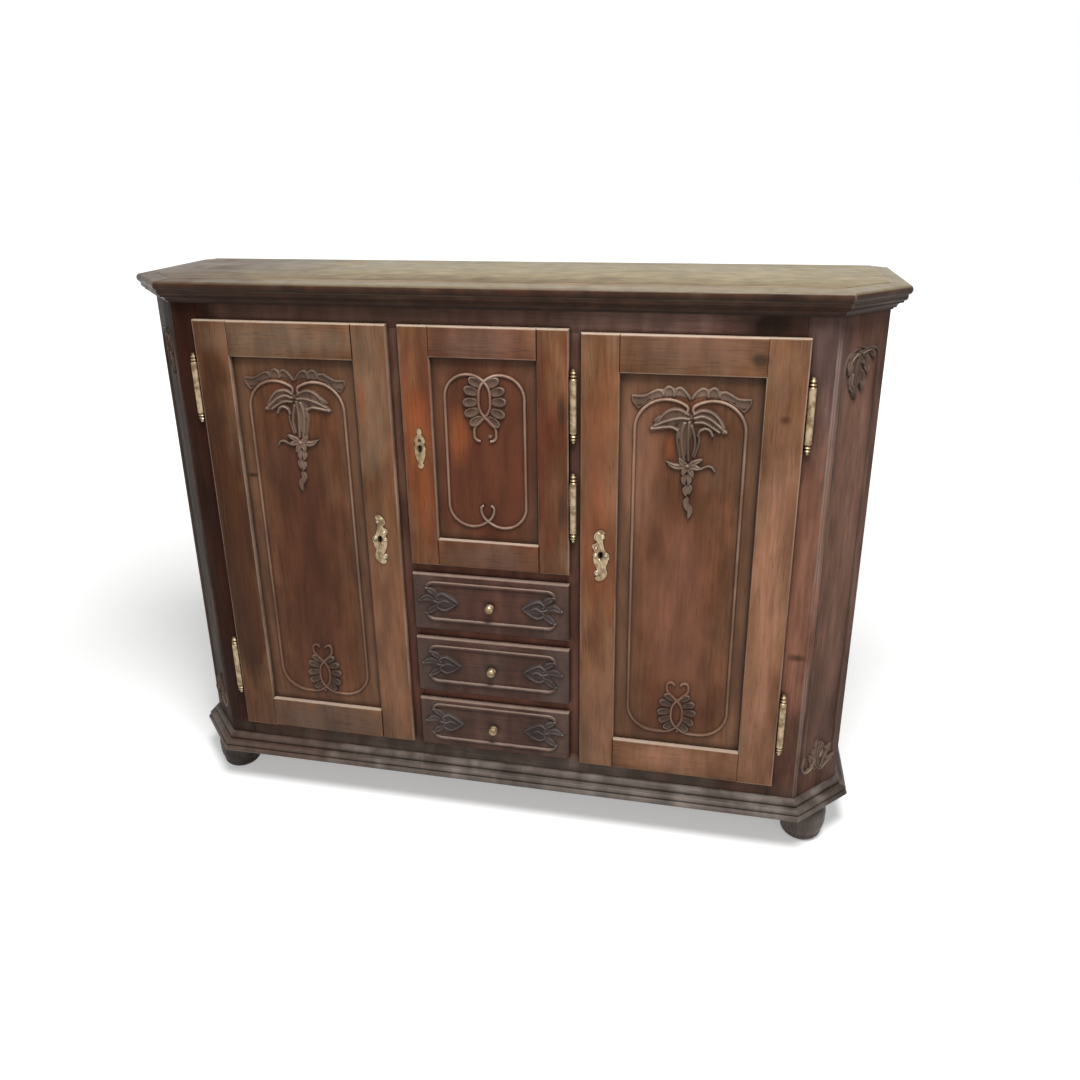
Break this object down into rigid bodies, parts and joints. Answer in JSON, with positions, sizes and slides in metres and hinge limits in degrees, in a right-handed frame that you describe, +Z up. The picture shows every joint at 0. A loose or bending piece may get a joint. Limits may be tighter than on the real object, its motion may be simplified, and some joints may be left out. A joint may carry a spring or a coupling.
{
  "type": "side cabinet",
  "caption": "Shallow carved wood side cabinet with canted front corners, panelled doors, a stack of small drawers, moulded top and plinth, brass fittings and bun feet.",
  "frame": {"origin": "centre of the cabinet's plan, on the floor under the feet", "axes": "+X to the cabinet's left-to-right as seen from the front, +Y from the front to the back, +Z up"},
  "size_m": [1.28, 0.306, 0.996],
  "materials": {
    "carcass_wood": "dark red-brown, old wax",
    "door_frame_wood": "mid brown, worn wax",
    "panel_wood": "mid brown, grey worn patches",
    "drawer_wood": "dark, waxed",
    "top_wood": "satin, faded olive brown",
    "cornice_wood": "dark, waxed, worn nose",
    "plinth_wood": "grey-brown, dusty",
    "inner_wood": "unfinished, darkened by age",
    "brass": "aged, dull",
    "iron": "forged, dark"
  },
  "bodies": {
    "carcass": {"back_boards": "inner_wood", "base_rail": "carcass_wood", "bottom_board": "inner_wood", "bun_feet": "plinth_wood", "cornice_moulding": "cornice_wood", "cupboard_floor": "inner_wood", "drawer_rails": "carcass_wood", "drawer_runners": "inner_wood", "frieze_rail": "carcass_wood", "hinge_pins": "brass", "left_cant_panel": "carcass_wood", "left_corner_stile": "carcass_wood", "left_mullion": "carcass_wood", "left_partition": "inner_wood", "left_shelf": "inner_wood", "left_side_panel": "carcass_wood", "plinth_frame": "plinth_wood", "right_cant_panel": "carcass_wood", "right_corner_stile": "carcass_wood", "right_mullion": "carcass_wood", "right_partition": "inner_wood", "right_shelf": "inner_wood", "right_side_panel": "carcass_wood", "shelf_cleats": "inner_wood", "top_board": "top_wood", "top_nosing": "cornice_wood"},
    "left_door": {"left_door_stiles": "door_frame_wood", "left_door_rails": "door_frame_wood", "left_door_panel": "panel_wood", "left_door_hinges": "brass", "left_escutcheon": "brass", "left_lock_case": "iron"},
    "left_bolt": {"left_lock_bolt": "iron"},
    "right_door": {"right_door_stiles": "door_frame_wood", "right_door_rails": "door_frame_wood", "right_door_panel": "panel_wood", "right_door_hinges": "brass", "right_escutcheon": "brass", "right_lock_case": "iron"},
    "right_bolt": {"right_lock_bolt": "iron"},
    "centre_door": {"centre_door_stiles": "door_frame_wood", "centre_door_rails": "door_frame_wood", "centre_door_panel": "panel_wood", "centre_door_hinges": "brass", "centre_escutcheon": "brass", "centre_lock_case": "iron"},
    "centre_bolt": {"centre_lock_bolt": "iron"},
    "upper_drawer": {"upper_drawer_front": "drawer_wood", "upper_drawer_box": "inner_wood", "upper_drawer_bottom": "inner_wood", "upper_drawer_knob": "brass"},
    "middle_drawer": {"middle_drawer_front": "drawer_wood", "middle_drawer_box": "inner_wood", "middle_drawer_bottom": "inner_wood", "middle_drawer_knob": "brass"},
    "lower_drawer": {"lower_drawer_front": "drawer_wood", "lower_drawer_box": "inner_wood", "lower_drawer_bottom": "inner_wood", "lower_drawer_knob": "brass"}
  },
  "joints": [
    {"name": "left_door_swing", "type": "hinge", "parent": "carcass", "child": "left_door", "pos_m": [-0.5035, -0.1335, 0.5], "axis": [0, 0, -1], "range_deg": [0, 110]},
    {"name": "left_bolt_throw", "type": "slide", "parent": "left_door", "child": "left_bolt", "axis": [1, 0, 0], "range_m": [0, 0.009]},
    {"name": "right_door_swing", "type": "hinge", "parent": "carcass", "child": "right_door", "pos_m": [0.5035, -0.1335, 0.5], "axis": [0, 0, 1], "range_deg": [0, 110]},
    {"name": "right_bolt_throw", "type": "slide", "parent": "right_door", "child": "right_bolt", "axis": [-1, 0, 0], "range_m": [0, 0.009]},
    {"name": "centre_door_swing", "type": "hinge", "parent": "carcass", "child": "centre_door", "pos_m": [0.1455, -0.1335, 0.5], "axis": [0, 0, 1], "range_deg": [0, 95]},
    {"name": "centre_bolt_throw", "type": "slide", "parent": "centre_door", "child": "centre_bolt", "axis": [-1, 0, 0], "range_m": [0, 0.009]},
    {"name": "upper_drawer_slide", "type": "slide", "parent": "carcass", "child": "upper_drawer", "axis": [0, -1, 0], "range_m": [0, 0.17]},
    {"name": "middle_drawer_slide", "type": "slide", "parent": "carcass", "child": "middle_drawer", "axis": [0, -1, 0], "range_m": [0, 0.17]},
    {"name": "lower_drawer_slide", "type": "slide", "parent": "carcass", "child": "lower_drawer", "axis": [0, -1, 0], "range_m": [0, 0.17]}
  ]
}
